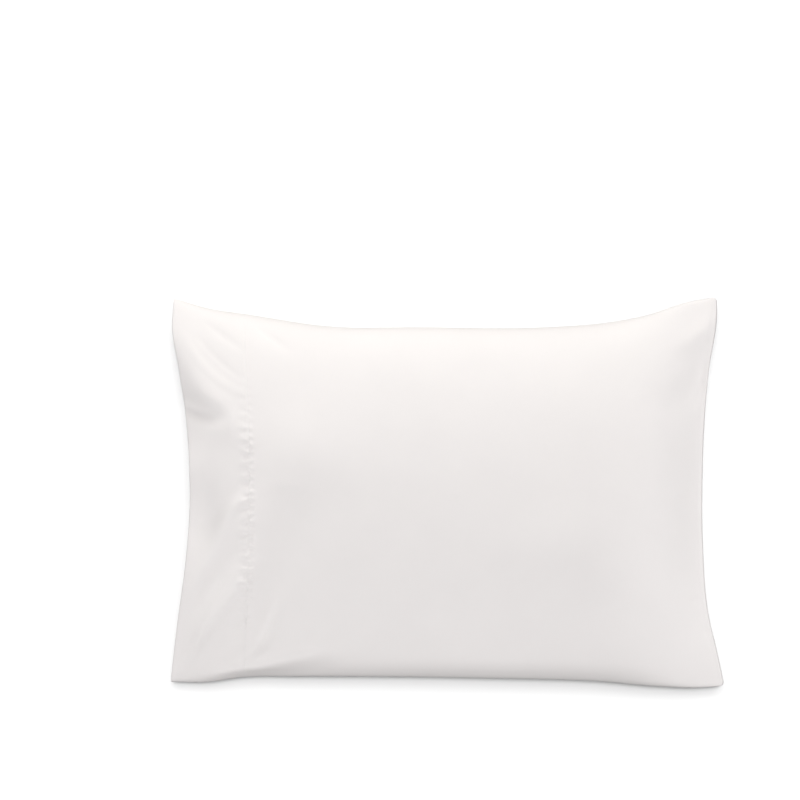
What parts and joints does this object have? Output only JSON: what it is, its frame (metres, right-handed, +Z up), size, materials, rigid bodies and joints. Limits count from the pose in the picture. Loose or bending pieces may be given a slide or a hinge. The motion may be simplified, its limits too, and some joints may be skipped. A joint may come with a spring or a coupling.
{
  "type": "pillowcase on a pillow",
  "caption": "Plain woven pillowcase with a deep stitched hem round its open end, on a plump rectangular pillow lying on its back.",
  "frame": {"origin": "on the surface that it lies on, under the middle of its outline", "axes": "+X from the open end of the case to its sewn end, +Y across it towards the picture's upper edge, +Z up out of the crowned front"},
  "size_m": [0.7258, 0.5119, 0.1514],
  "materials": {
    "pillowcase": "smooth, matt with a slight sheen",
    "pillow": "matt"
  },
  "bodies": {
    "root": {"pillowcase": "pillowcase", "pillow": "pillow"}
  },
  "joints": []
}
